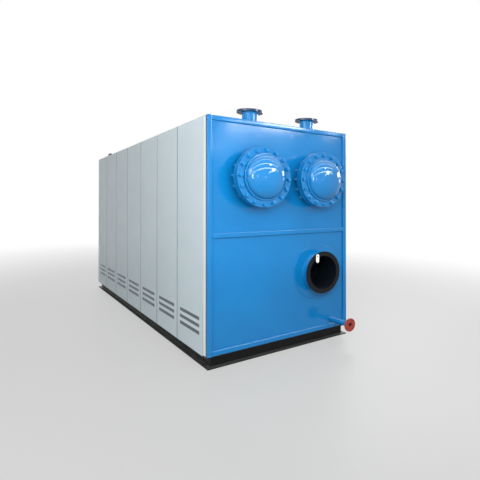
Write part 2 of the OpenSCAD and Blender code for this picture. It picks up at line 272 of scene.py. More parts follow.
@dataclass(frozen=True)
class CoatedSheet(Finish):
    """Coil-coated steel sheet, roller painted: an even satin grey-white under a thin film, with a
    very fine grain, slight clouding, and dust where it lies level."""

    ior: float = 1.46

    def pattern(self, coat: Coat) -> None:
        """The roller's grain is under 1 mm; it is drawn 6 mm wide so that it shows."""
        tone = coat.blend(coat.clouds(650, 0.0, 0.5), self.colour, "#b6c4ca")
        tone = coat.blend(coat.clouds(45, 0.0, 0.12), tone, "#abb8bc")
        tone = coat.blend(coat.settled(0.4), tone, "#a8a79f")
        gloss = coat.clouds(220, self.roughness - 0.05, self.roughness + 0.06)
        coat.finish(tone, gloss, (6.0, 0.006))


@dataclass(frozen=True)
class ChassisPaint(Finish):
    """Black chassis paint brushed on hot-rolled channel: satin, slightly pitted by mill scale,
    and grey with floor dust on the upper faces of the flanges. It is lean and full of pores, and
    so reflects little."""

    ior: float = 1.27

    def pattern(self, coat: Coat) -> None:
        """Mill scale leaves pits about 12 mm across."""
        tone = coat.blend(coat.clouds(90, 0.0, 0.35), self.colour, "#141617")
        tone = coat.blend(coat.settled(0.2), tone, "#77797a")
        gloss = coat.clouds(50, self.roughness - 0.08, self.roughness + 0.12)
        coat.finish(tone, gloss, (70.0, 0.08), (12.0, 0.05))


@dataclass(frozen=True)
class RedPrimer(Finish):
    """Red oxide primer brushed on a forged flange: matt, a little streaky, with the forging's
    texture showing through."""

    def pattern(self, coat: Coat) -> None:
        """Brush marks a few millimetres wide over a 5 mm forging grain."""
        tone = coat.blend(coat.clouds(22, 0.0, 0.6), self.colour, "#b04a43")
        tone = coat.blend(coat.settled(0.25), tone, "#b79c92")
        gloss = coat.clouds(30, self.roughness - 0.1, self.roughness + 0.1)
        coat.finish(tone, gloss, (18.0, 0.05), (5.0, 0.02))


@dataclass(frozen=True)
class StovePaint(Finish):
    """Heat-resistant black stove paint on a flame-cut ring: dry, chalky and matt, so that it
    reflects little, and turned slightly grey in patches by the heat."""

    ior: float = 1.27

    def pattern(self, coat: Coat) -> None:
        """Grey patches about 60 mm across, and the cut steel's 8 mm grain."""
        tone = coat.blend(coat.clouds(60, 0.0, 0.85), self.colour, "#0b0c0e")
        gloss = coat.clouds(25, self.roughness - 0.1, self.roughness + 0.08)
        coat.finish(tone, gloss, (8.0, 0.05))


@dataclass(frozen=True)
class GalvanisedSteel(Finish):
    """Hot-dip galvanised steel, sheet or wire: grey metal with pale zinc crystals.

    Args:
        crystal_mm: size of one crystal.
    """

    crystal_mm: float = 4.0

    def constants(self) -> dict[str, float]:
        """Bare metal under a dull zinc skin."""
        return {"Metallic": 0.85}

    def pattern(self, coat: Coat) -> None:
        """Zinc crystals are cells of a Voronoi pattern, each with its own tone."""
        size = {"Vector": coat.coords, "Scale": per_metre(self.crystal_mm)}
        cells = add_node(coat.tree, "ShaderNodeTexVoronoi", inputs=size).outputs["Color"]
        shade = add_node(coat.tree, "ShaderNodeSeparateColor", inputs={0: cells}).outputs
        tone = coat.blend(shade[0], self.colour, "#8f979b")
        limits = (0.0, 1.0, self.roughness - 0.08, self.roughness + 0.1)
        coat.finish(tone, mapped(coat.tree, shade[1], limits), (30.0, 0.04))


@dataclass(frozen=True)
class FibreSheet(Finish):
    """Compressed fibre gasket, cut from sheet: dark graphite grey, dry, with short pale fibres."""

    def pattern(self, coat: Coat) -> None:
        """Fibres are 1 to 2 mm long; they are drawn as 5 mm flecks so that they show."""
        tone = coat.blend(coat.clouds(5, 0.0, 0.5), self.colour, "#4b4d4f")
        coat.finish(tone, coat.clouds(12, self.roughness - 0.1, self.roughness), (5.0, 0.04))


@dataclass(frozen=True)
class BoreShadePaint(Finish):
    """Painted shade inside a deep bore: a nearly black, rough coat that hardly reflects, so that
    the bore stays dark."""

    ior: float = 1.15

    def pattern(self, coat: Coat) -> None:
        """Soft blotches about 25 mm across."""
        tone = coat.blend(coat.clouds(25, 0.0, 1.0), self.colour, "#08080a")
        coat.finish(tone, coat.clouds(40, self.roughness - 0.06, self.roughness), (25.0, 0.4))


@dataclass(frozen=True)
class TagPlastic(Finish):
    """White PVC tag, die cut: smooth, faintly yellowed, with handling marks in its gloss."""

    def pattern(self, coat: Coat) -> None:
        """Handling marks about 15 mm across."""
        tone = coat.blend(coat.clouds(35, 0.0, 0.5), self.colour, "#dcd9cd")
        gloss = coat.clouds(15, self.roughness - 0.08, self.roughness + 0.12)
        coat.finish(tone, gloss, (20.0, 0.05))


BLUE = "#0a6eaa"
ENAMEL = MachineEnamel("blue_machine_enamel", "blue_enamel", BLUE, 0.12)
SHEET_ENAMEL = MachineEnamel("blue_enamel_on_sheet", "blue_enamel", BLUE, 0.13, sheet_wave_mm=0.8)
# Painted shade: the dished heads take a darker copy of the blue enamel.
DISH_ENAMEL = MachineEnamel("blue_enamel_with_painted_shade_on_dish", "blue_enamel", "#0a67a0", 0.05, ior=1.5)
# Painted shade: a darker blue for the nozzle flanges.
FLANGE_SHADE_ENAMEL = MachineEnamel("blue_enamel_with_painted_shade_on_flange", "blue_enamel", "#08304c", 0.2, deep="#06263d")
CASING = CoatedSheet("grey_white_coated_sheet", "white_sheet_paint", "#bccbd2", 0.38)
ROOF = CoatedSheet("dusty_coated_sheet", "white_sheet_paint", "#a9b3b6", 0.7)
# Painted light: the corner posts take a lighter copy of the side sheets' paint for the light they
# catch.
POST = CoatedSheet("coated_sheet_with_painted_light_on_posts", "white_sheet_paint", "#dbe7ea", 0.38)
CHASSIS = ChassisPaint("black_chassis_paint", "black_base_paint", "#070708", 0.42)
PRIMER = RedPrimer("red_oxide_primer", "red_flange_paint", "#7c1c18", 0.5)
# Painted shade: a darker copy of the primer for the inside of the drain's bore.
SHADED_BORE_PRIMER = RedPrimer("red_primer_with_painted_shade_in_bore", "red_flange_paint", "#5e1512", 0.7)
STOVE = StovePaint("black_stove_paint", "black_flue_ring", "#060a10", 0.7)
# Painted shade: a near-black coat inside the flue's bore.
FLUE_SHADE = BoreShadePaint("painted_shade_in_flue", "black_flue_ring", "#08131d", 0.95)
WIRE = GalvanisedSteel("galvanised_wire", "steel_screen", "#8b9296", 0.45)
ZINC = GalvanisedSteel("galvanised_pin", "grey_fittings", "#b9c0c4", 0.4)
CLADDING = GalvanisedSteel(
    "galvanised_cladding", "body_cladding", "#6f777b", 0.45, crystal_mm=18.0
)
FITTING = ChassisPaint("dark_grey_paint", "grey_fittings", "#3b4043", 0.45)
GASKET = FibreSheet("compressed_fibre", "fibre_gasket", "#232527", 0.85)
# Painted shade: black on the corner posts' faces in the joint behind the end frames.
POST_JOINT_SHADE = FibreSheet("painted_shade_in_post_joints", "fibre_gasket", "#0c0d0e", 0.9)
# Painted shade: a dark grey for the faces deep in the joints between the side sheets.
PANEL_JOINT_SHADE = FibreSheet("painted_shade_in_panel_joints", "fibre_gasket", "#33393c", 0.9)
TAG = TagPlastic("white_tag_plastic", "white_sheet_paint", "#eceae4", 0.35)


# Surfaces on grids


class Facing(Enum):
    """Where the X, Y and Z of a shape that was worked out along Z go on the boiler."""

    UP = ((1, 0, 0), (0, 1, 0), (0, 0, 1))
    FRONT = ((1, 0, 0), (0, 0, 1), (0, -1, 0))


@dataclass
class Patch:
    """A surface as a function of two parameters, worked out on a grid.

    Args:
        points: array of shape (..., rows, columns, 3); any axes before the rows are copies.
        wrap: True if the last column joins the first.
        open_cells: True for each cell that is left open, of shape (rows - 1, columns - 1).
        flip: True to turn the faces round.
    """

    points: np.ndarray
    wrap: bool = False
    open_cells: np.ndarray | None = None
    flip: bool = False

    def faces(self) -> tuple[np.ndarray, np.ndarray]:
        """The points and the four corner numbers of every cell, for all copies.

        Returns:
            Points of shape (n, 3) and corner numbers of shape (m, 4).
        """
        rows, cols = self.points.shape[-3:-1]
        i, j = np.mgrid[0 : rows - 1, 0 : cols if self.wrap else cols - 1]
        row, k = i * cols, (j + 1) % cols
        cells = np.stack([row + j, row + k, row + cols + k, row + cols + j], -1).reshape(-1, 4)
        if self.open_cells is not None:
            cells = cells[~self.open_cells.ravel()]
        if self.flip:
            cells = cells[:, ::-1]
        points = self.points.reshape(-1, 3)
        starts = np.arange(0, len(points), rows * cols)
        return points, (cells[None] + starts[:, None, None]).reshape(-1, 4)

    def placed(self, at: Any, facing: Facing = Facing.UP) -> "Patch":
        """The same patch, turned to face a way and moved, its origin to a point."""
        points = self.points @ np.array(facing.value, float) + np.array(at, float)
        return replace(self, points=points)

    def copied(self, centres: np.ndarray, turns: np.ndarray | None = None) -> "Patch":
        """A copy at each centre, each turned about its own Z.

        Args:
            centres: array of shape (n, 3).
            turns: angle of each copy, or None for no turn.

        Returns:
            One patch that holds all the copies.
        """
        angle = np.zeros(len(centres)) if turns is None else turns
        c, s, o = np.cos(angle), np.sin(angle), np.zeros(len(centres))
        turn = np.stack([c, s, o, -s, c, o, o, o, o + 1], -1).reshape(-1, 1, 3, 3)
        return replace(self, points=self.points[None] @ turn + centres[:, None, None, :])


def turns(count: int) -> np.ndarray:
    """The angles of a full turn in equal steps."""
    return np.linspace(0, 2 * np.pi, count, endpoint=False)


def polar(radius: Any, angle: np.ndarray, height: Any) -> np.ndarray:
    """Points at a radius and an angle round Z, and at a height."""
    axes = np.broadcast_arrays(radius * np.cos(angle), radius * np.sin(angle), height)
    return np.stack(axes, -1)


def ring_of(count: int, pitch_d: float, first: float = 0.0) -> np.ndarray:
    """Centres spread evenly on a circle in the XY plane, from the angle of the first one."""
    angle = first + np.arange(count) * 2 * np.pi / count
    return polar(pitch_d / 2, angle, 0.0)


def revolved(profile: list[tuple[float, float]] | np.ndarray, around: int = 96) -> Patch:
    """Turns a profile about Z: point (i, j) is the profile's radius i at angle j, at height i.

    Args:
        profile: radius and height of each profile point.
        around: number of steps round the axis.

    Returns:
        The turned surface.
    """
    radius, height = np.array(profile, float).T[:, :, None]
    return Patch(polar(radius, turns(around), height), wrap=True)


def cup(r: float, depth: float, t: float, around: int) -> Patch:
    """Lining of a blind bore of radius r, t thick: closed at Z = 0, open at the depth."""
    return revolved([(0, 0), (r, 0), (r, depth), (r - t, depth), (r - t, t), (0, t)], around)


def swept(path: np.ndarray, radius: float, around: int = 8) -> Patch:
    """Carries a circle along a closed path: each point is the path's point plus the radius times
    the cosine and the sine of the angle along two directions square to the path.

    Args:
        path: points of a closed flat path, of shape (n, 3).
        radius: radius of the wire.
        around: steps round the wire.

    Returns:
        The closed tube.
    """
    ring = np.vstack([path, path[:1]])
    along = np.roll(path, -1, 0) - np.roll(path, 1, 0)
    along = np.vstack([along, along[:1]])
    along /= np.linalg.norm(along, axis=1, keepdims=True)
    flat = np.cross(path[1] - path[0], path[len(path) // 2] - path[0])
    flat = np.broadcast_to(flat / np.linalg.norm(flat), along.shape)
    side = np.cross(along, flat)
    angle = turns(around)[None, :, None]
    circle = np.cos(angle) * side[:, None] + np.sin(angle) * flat[:, None]
    return Patch(ring[:, None] + radius * circle, wrap=True)


def hex_nut(flats: float, height: float, bore: float, steps: int = 8) -> Patch:
    """Hexagon nut on Z = 0. At an angle t off the middle of a flat the side lies at half the
    width over flats divided by cos t; the 30 degree chamfer takes the part of that past the
    round end face, times tan 30, off both ends.

    Args:
        flats: width over flats.
        height: height.
        bore: diameter of the bore.
        steps: steps along one flat.

    Returns:
        The closed nut.
    """
    angle, face_r = turns(6 * steps), 0.47 * flats
    off = (angle + np.pi / 6) % (np.pi / 3) - np.pi / 6
    side = flats / 2 / np.cos(off)
    drop = (side - face_r) * math.tan(math.radians(30))
    inner, face = 0 * angle + bore / 2, 0 * angle + face_r
    radius = np.stack([inner, face, side, side, face, inner, inner])
    rise = np.stack([0 * drop, 0 * drop, drop, height - drop, 0 * drop + height])
    rise = np.vstack([rise, rise[4:], rise[:1]])
    return Patch(polar(radius, angle, rise), wrap=True)


def threaded(diameter: float, pitch: float, length: float, around: int = 12) -> Patch:
    """Threaded rod from Z = 0. Row k at angle a lies at the height pitch x (k / 2 + a / 2 pi), so
    the rows wind up as a helix; even rows are crests and odd rows are roots. Both ends are cut
    level, chamfered and closed.

    Args:
        diameter: diameter over the crests.
        pitch: rise of one turn.
        length: length of the rod.
        around: steps round the rod.

    Returns:
        The closed rod.
    """
    row = np.arange(-2, 2 * math.ceil(length / pitch) + 1)[:, None]
    angle = np.linspace(0, 2 * np.pi, around + 1)[None]
    height = np.clip(pitch * (row / 2 + angle / (2 * np.pi)), 0, length)
    crest, depth = diameter / 2, 0.55 * pitch
    radius = np.where(row % 2 == 0, crest, crest - depth) + 0 * angle
    to_end = np.minimum(height, length - height)
    radius = np.minimum(radius, crest - depth + to_end)
    radius = np.vstack([0 * angle, radius, 0 * angle])
    height = np.vstack([0 * angle, height, 0 * angle + length])
    return Patch(polar(radius, angle, height))


def fillet_weld(radius: float, leg: float, inward: bool = False, ripple: float = 0.007) -> Patch:
    """Weld round a pipe of that radius that stands on Z = 0: a circle carried round the pipe,
    which swells by a tenth with each ripple, the ripples bent back like fish scales.

    Args:
        radius: outside radius of the pipe.
        leg: leg of the fillet.
        inward: True if the bead lies on the low side of Z = 0.
        ripple: length of one ripple along the seam.

    Returns:
        The closed bead.
    """
    ripples = round(2 * np.pi * radius / ripple)
    angle = turns(4 * ripples)[None]
    section = np.linspace(0, 2 * np.pi, 10)[:, None]
    bend, centre, bead_r = 1.5, 0.28 * leg, 0.62 * leg
    swell = 1 + 0.1 * np.cos(ripples * angle + bend * np.cos(section - np.pi / 4))
    out = radius + centre + bead_r * swell * np.cos(section)
    up = centre + bead_r * swell * np.sin(section)
    return Patch(polar(out, angle, -up if inward else up), wrap=True)


def register(obj: bpy.types.Object, finish: Finish, replaces: tuple[str, ...] = ()) -> None:
    """Gives a finished piece its material and its body, and reports it.

    Args:
        obj: the piece.
        finish: its finish.
        replaces: CAD nodes that it stands for.
    """
    obj.data.materials.clear()
    obj.data.materials.append(finish.material())
    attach(obj, BODY)
    if replaces:
        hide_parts(*replaces)
    log.info("%s: %d faces, %s", obj.name, len(obj.data.polygons), finish.name)


def added(name: str, data: bpy.types.ID) -> bpy.types.Object:
    """Puts a new object with that data into the scene.

    Args:
        name: the object's name.
        data: its mesh, lamp or camera.

    Returns:
        The object.
    """
    obj = bpy.data.objects.new(name, data)
    bpy.context.scene.collection.objects.link(obj)
    return obj


def touch_up(obj: bpy.types.Object, finish: Finish, chosen: Callable[[Any], bool]) -> None:
    """Gives some faces of a piece a second finish.

    Args:
        obj: the piece.
        finish: the second finish.
        chosen: tells whether a face takes it.
    """
    obj.data.materials.append(finish.material())
    for face in obj.data.polygons:
        face.material_index = int(chosen(face))


def shade(mesh: bpy.types.Mesh, sharp_deg: float) -> None:
    """Shades a mesh smoothly, but for the edges that are sharper than an angle."""
    mesh.polygons.foreach_set("use_smooth", np.ones(len(mesh.polygons), bool))
    mesh.set_sharp_from_angle(angle=math.radians(sharp_deg))
    mesh.update()


def mend(mesh: bpy.types.Mesh, turn_out: bool = False, join_flat: bool = False) -> None:
    """Makes one point of the points that lie on each other.

    Args:
        mesh: the mesh.
        turn_out: True to turn its faces outwards as well.
        join_flat: True to join its flat parts as well.
    """
    bm = bmesh.new()
    bm.from_mesh(mesh)
    bmesh.ops.remove_doubles(bm, verts=bm.verts, dist=MERGE)
    if turn_out:
        bmesh.ops.recalc_face_normals(bm, faces=bm.faces)
    if join_flat:
        bounds = {"verts": bm.verts, "edges": bm.edges, "use_dissolve_boundaries": False}
        bmesh.ops.dissolve_limit(bm, angle_limit=math.radians(0.5), **bounds)
    bm.to_mesh(mesh)
    bm.free()


def piece(
    name: str,
    patches: list[Patch],
    finish: Finish,
    replaces: tuple[str, ...] = (),
    closed: bool = True,
    sharp_deg: float = 35.0,
) -> bpy.types.Object:
    """Makes one object from patches, with its seams and poles closed.

    Args:
        name: the piece's name.
        patches: its surfaces.
        finish: its finish.
        replaces: CAD nodes that it stands for.
        closed: True if every patch is closed, so that its faces can be turned outwards.
        sharp_deg: edges sharper than this stay sharp.

    Returns:
        The new object.
    """
    points, cells, count = [], [], 0
    for patch in patches:
        p, c = patch.faces()
        points.append(p)
        cells.append(c + count)
        count += len(p)
    corners = np.concatenate(cells)
    mesh = bpy.data.meshes.new(name)
    mesh.vertices.add(count)
    mesh.vertices.foreach_set("co", np.concatenate(points).astype(np.float32).ravel())
    mesh.loops.add(corners.size)
    mesh.loops.foreach_set("vertex_index", corners.astype(np.int32).ravel())
    mesh.polygons.add(len(corners))
    mesh.polygons.foreach_set("loop_start", np.arange(0, corners.size, 4, dtype=np.int32))
    mesh.update(calc_edges=True)
    mend(mesh, turn_out=closed)
    shade(mesh, sharp_deg)
    obj = added(name, mesh)
    register(obj, finish, replaces)
    return obj


def thickened(obj: bpy.types.Object, wall: float, sharp_deg: float) -> None:
    """Gives a surface its thickness on the inner side, and shades its new rims sharp.

    Args:
        obj: the piece, whose faces point outwards.
        wall: thickness of the sheet.
        sharp_deg: edges sharper than this stay sharp.
    """
    solid = obj.modifiers.new("sheet_thickness", "SOLIDIFY")
    solid.thickness = wall
    solid.offset = -1
    bpy.context.view_layer.update()
    shape = obj.evaluated_get(bpy.context.evaluated_depsgraph_get())
    mesh = bpy.data.meshes.new_from_object(shape)
    obj.modifiers.remove(solid)
    thin, obj.data = obj.data, mesh
    bpy.data.meshes.remove(thin)
    mesh.name = obj.name
    shade(mesh, sharp_deg)


def eased(
    node: str, finish: Finish, radius: float = 0.0, sharp_deg: float = 30.0
) -> bpy.types.Object:
    """Stands a copy of a CAD node in its place, with its triangles merged, its flat parts joined
    and its sharp edges rounded.

    Args:
        node: the CAD node.
        finish: finish of the copy.
        radius: radius of the rounded edges, or 0 for none.
        sharp_deg: edges sharper than this are rounded, or stay sharp.

    Returns:
        The copy.
    """
    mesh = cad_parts[node].data.copy()
    mesh.name = node + "_dressed"
    mend(mesh, join_flat=True)
    shade(mesh, sharp_deg)
    obj = added(mesh.name, mesh)
    if radius:
        bevel = obj.modifiers.new("eased_edges", "BEVEL")
        bevel.width = radius
        bevel.segments = 2
        bevel.limit_method = "ANGLE"
        bevel.angle_limit = math.radians(sharp_deg)
        bevel.harden_normals = True
    register(obj, finish, (node,))
    return obj


# Sub-assemblies


@dataclass
class DrumCover:
    """One drum's end: neck, two bolted flanges and the dished head, all in blue enamel.

    Args:
        side: left or right, as in the CAD nodes' names.
        bolt_turn: turn of the bolts, in degrees clockwise from one at the top.
    """

    side: str
    bolt_turn: float = 0.0
    flange_r: float = 0.310
    flange_t: float = 0.040
    chamfer: float = 0.0015
    neck_r: float = 0.2285
    neck_h: float = 0.012
    wall: float = 0.012
    rim_r: float = 0.240
    rim_h: float = 0.010
    rim_round: float = 0.0045
    dish_r: float = 0.224
    depth: float = 0.108
    weld_leg: float = 0.008
    gasket_t: float = 0.006
    bolts: int = 16
    bolt_pitch_d: float = 0.556
    stud_d: float = 0.024
    stud_pitch: float = 0.003
    nut_flats: float = 0.041
    nut_t: float = 0.0235
    washer_r: float = 0.025
    washer_t: float = 0.0045
    proud: float = 0.005
    tail: float = 0.088

    def build(self) -> None:
        """Builds the cover, its weld, the bolting and the drum's neck."""
        low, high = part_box(f"{self.side}_cover")
        at = ((low.x + high.x) / 2, high.y, (low.z + high.z) / 2)
        name = f"{self.side}_cover"
        dish = revolved(self.profile(), 144).placed(at, Facing.FRONT)
        piece(name + "_dished", [dish], DISH_ENAMEL, (name,))
        welds = [fillet_weld(self.neck_r, self.weld_leg).placed((0, 0, self.flange_t))]
        back = -self.gasket_t - self.flange_t
        welds.append(fillet_weld(self.neck_r, self.weld_leg, inward=True).placed((0, 0, back)))
        piece(name + "_welds", [w.placed(at, Facing.FRONT) for w in welds], ENAMEL, sharp_deg=80)
        bolting = [p.placed(at, Facing.FRONT) for p in self.bolting()]
        piece(name + "_bolting", bolting, ENAMEL, sharp_deg=28)
        eased(f"{self.side}_drum_end", ENAMEL, self.chamfer)

    def profile(self) -> np.ndarray:
        """Cover from its bore out over the flange, up the neck, round the rim and over the dish,
        and back inside. The rim's edges are quarter circles. The dish is a quarter ellipse, its
        radius falling with the cosine and its height rising with the sine.

        Returns:
            Radius and height of each profile point.
        """
        turn = np.linspace(0, np.pi / 2, 40)
        low, c, e = self.flange_t + self.neck_h, self.chamfer, self.rim_round
        foot = low + self.rim_h
        bend = np.linspace(-np.pi / 2, np.pi / 2, 12)
        middle = np.where(bend < 0, low + e, foot - e)
        rim = np.stack([self.rim_r - e + e * np.cos(bend), middle + e * np.sin(bend)], -1)
        inner_r = self.neck_r - self.wall
        outer = np.stack([self.dish_r * np.cos(turn), foot + self.depth * np.sin(turn)], -1)
        inner = np.stack(
            [inner_r * np.cos(turn), foot + (self.depth - self.wall) * np.sin(turn)], -1
        )[::-1]
        flange = [
            (inner_r, 0),
            (self.flange_r - c, 0),
            (self.flange_r, c),
            (self.flange_r, self.flange_t - c),
            (self.flange_r - c, self.flange_t),
            (self.neck_r, self.flange_t),
            (self.neck_r, low),
        ]
        return np.vstack([flange, rim, outer, inner, flange[:1]])

    def bolting(self) -> list[Patch]:
        """Studs with a washer and a nut in front of the cover and behind the drum's flange, each
        nut stopped where the spanner left it.

        Returns:
            Nuts, washers and the two threaded ends of the studs, along Z from the gasket.
        """
        spots = ring_of(self.bolts, self.bolt_pitch_d, math.radians(90 - self.bolt_turn))
        turns = np.random.default_rng(16).uniform(0, np.pi / 3, (2, self.bolts))
        nut = hex_nut(self.nut_flats, self.nut_t, self.stud_d)
        back = -self.gasket_t - self.flange_t
        bore, r, t, c = self.stud_d / 2, self.washer_r, self.washer_t, self.chamfer
        washer = revolved(
            [(bore, 0), (r - c, 0), (r, c), (r, t - c), (r - c, t), (bore, t), (bore, 0)], 24
        )
        front_end = threaded(self.stud_d, self.stud_pitch, t + self.nut_t + self.proud)
        back_end = threaded(self.stud_d, self.stud_pitch, self.tail)
        return [
            nut.copied(spots + [0, 0, self.flange_t + t], turns[0]),
            nut.copied(spots + [0, 0, back - t - self.nut_t], turns[1]),
            washer.copied(spots + [0, 0, self.flange_t]),
            washer.copied(spots + [0, 0, back - t]),
            front_end.copied(spots + [0, 0, self.flange_t]),
            back_end.copied(spots + [0, 0, back - self.tail]),
        ]


@dataclass
class Nozzle:
    """One roof nozzle: a pipe in blue enamel with a drilled flange painted a darker blue as shade,
    its bore painted dark inside as shade.

    Args:
        side: left or right, as in the CAD nodes' names.
    """

    side: str
    pipe_r: float = 0.08415
    bore_r: float = 0.077
    flange_t: float = 0.025
    leg: float = 0.007
    dark_bore_t: float = 0.0006
    dark_bore_foot: float = 0.07
    gap: float = 0.002

    def build(self) -> None:
        """Eases the CAD nozzle's edges, darkens its flange as painted shade, and adds its weld and
        a dark cup in its bore as painted shade.
        """
        low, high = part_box(f"{self.side}_nozzle")
        x, y = (low.x + high.x) / 2, (low.y + high.y) / 2
        nozzle = eased(f"{self.side}_nozzle", ENAMEL, 0.0015)
        under = high.z - self.flange_t
        # The flange's faces take a darker blue: painted shade on the flange.
        touch_up(nozzle, FLANGE_SHADE_ENAMEL, lambda face: face.center.z > under - MERGE)
        weld = fillet_weld(self.pipe_r, self.leg, inward=True)
        piece(
            f"{self.side}_nozzle_weld",
            [weld.placed((x, y, under))],
            ENAMEL,
            sharp_deg=80,
        )
        # A black cup in the bore, from its foot up to the flange: painted shade inside the pipe.
        r, t, foot = self.bore_r, self.dark_bore_t, low.z + self.dark_bore_foot
        top = high.z - foot - self.gap
        wall = [(r, 0), (r, top), (r - t, top), (r - t, 0), (r, 0)]
        dark_bore = revolved(wall, 64).placed((x, y, foot))
        piece(f"{self.side}_nozzle_bore_painted_shade", [dark_bore], CHASSIS)


@dataclass
class FluePort:
    """Flue port: blue stub and collar, black ring, near-black inside as painted shade, with a
    blank tag wired to the ring."""

    bore_r: float = 0.192
    stub_r: float = 0.200
    ring_r: float = 0.242
    ring_t: float = 0.010
    leg: float = 0.009
    collar_leg: float = 0.006
    dark_bore_t: float = 0.0015
    gap: float = 0.002
    tag_w: float = 0.042
    tag_l: float = 0.098
    tag_t: float = 0.002
    tag_hole_r: float = 0.008
    tag_hole_drop: float = 0.024
    tag_dx: float = -0.090
    wire_r: float = 0.0011

    def build(self) -> None:
        """Builds the port from the CAD nodes, then its welds, a near-black cup in its bore as
        painted shade, and its tag.
        """
        low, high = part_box("flue_flange")
        x, z, face = (low.x + high.x) / 2, (low.z + high.z) / 2, low.y
        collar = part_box("flue_collar")
        for part, finish in (("stub", ENAMEL), ("collar", ENAMEL), ("flange", STOVE)):
            eased(f"flue_{part}", finish, 0.001)
        at_collar = (x, collar[0].y, z)
        outer_r = (collar[1].x - collar[0].x) / 2
        beads = [
            fillet_weld(self.stub_r, self.leg).placed(at_collar, Facing.FRONT),
            fillet_weld(outer_r, self.collar_leg).placed((x, collar[1].y, z), Facing.FRONT),
            fillet_weld(self.stub_r, self.leg, inward=True).placed(
                (x, face + self.ring_t, z), Facing.FRONT
            ),
        ]
        piece("flue_port_welds", beads, ENAMEL, sharp_deg=80)
        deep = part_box("flue_stub")[1].y - face - self.gap
        at = (x, face + deep + self.gap, z)
        # A near-black cup closes the bore: painted shade of the deep flue.
        dark_bore = cup(self.bore_r, deep, self.dark_bore_t, 96).placed(at, Facing.FRONT)
        piece("flue_port_bore_painted_shade", [dark_bore], FLUE_SHADE)
        self.tag(x, face, z)

    def tag(self, x: float, face: float, z: float) -> None:
        """Hangs the tag on the ring. Its outline is a bar with round ends; each point of the
        outline is joined to the point of the hole that lies in the same turn.

        Args:
            x: middle of the port.
            face: Y of the ring's face.
            z: height of the port's axis.
        """
        middle_r = (self.bore_r + self.ring_r) / 2
        rise = math.sqrt(middle_r**2 - self.tag_dx**2)
        turn = turns(64)
        end_r = self.tag_w / 2
        straight = self.tag_l - self.tag_w
        cos, sin = np.cos(turn), np.sin(turn)
        centre = self.tag_hole_drop - end_r - np.where(sin < 0, straight, 0)
        outline = np.stack([end_r * cos, end_r * sin + centre], -1)
        hole = self.tag_hole_r * np.stack([cos, sin], -1)
        flat = np.stack([hole, outline * 0.97, outline, outline, outline * 0.97, hole, hole])
        edge = 0.0004
        depth = np.array([0, 0, edge, self.tag_t - edge, self.tag_t, self.tag_t, 0])
        depth = np.broadcast_to(depth[:, None, None], flat.shape[:2] + (1,))
        plate = Patch(np.concatenate([flat, depth], -1), wrap=True)
        gap = 2.2 * self.wire_r
        at = (x + self.tag_dx, face - gap, z + rise - self.tag_hole_r / 2)
        piece("flue_port_tag", [plate.placed(at, Facing.FRONT)], TAG)
        radial = np.array([self.tag_dx, 0, rise]) / middle_r
        half_l = (self.ring_r - self.bore_r) / 2 + 2 * self.wire_r
        half_t = (self.ring_t + self.tag_t) / 2 + gap
        loop = turns(48)
        power = 0.35
        up = np.sign(np.sin(loop)) * np.abs(np.sin(loop)) ** power * half_l
        out = np.sign(np.cos(loop)) * np.abs(np.cos(loop)) ** power * half_t
        hub = np.array([x, face + self.ring_t / 2 - gap / 2, z]) + middle_r * radial
        path = hub + up[:, None] * radial + out[:, None] * np.array([0, 1, 0])
        piece("flue_port_tag_wire", [swept(path, self.wire_r)], WIRE, sharp_deg=60)


@dataclass
class Drain:
    """Drain: blue pipe with a red drilled flange, red inside and painted darker there as shade."""

    pipe_r: float = 0.03015
    bore_r: float = 0.02625
    leg: float = 0.005
    dark_bore_t: float = 0.0006
    gap: float = 0.002

    def build(self) -> None:
        """Eases the CAD pipe and flange, and adds the weld and a darker red cup in the bore as
        painted shade.
        """
        eased("drain_pipe", ENAMEL)
        eased("drain_flange", PRIMER, 0.0015)
        low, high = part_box("drain_flange")
        x, z = (low.x + high.x) / 2, (low.z + high.z) / 2
        weld = fillet_weld(self.pipe_r, self.leg, inward=True, ripple=0.005)
        piece("drain_weld", [weld.placed((x, high.y, z), Facing.FRONT)], PRIMER, sharp_deg=80)
        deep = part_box("drain_pipe")[1].y - low.y - self.gap
        at = (x, low.y + deep + self.gap, z)
        # A darker red cup in the bore: painted shade.
        dark_bore = cup(self.bore_r, deep, self.dark_bore_t, 48).placed(at, Facing.FRONT)
        piece("drain_bore_painted_shade", [dark_bore], SHADED_BORE_PRIMER)


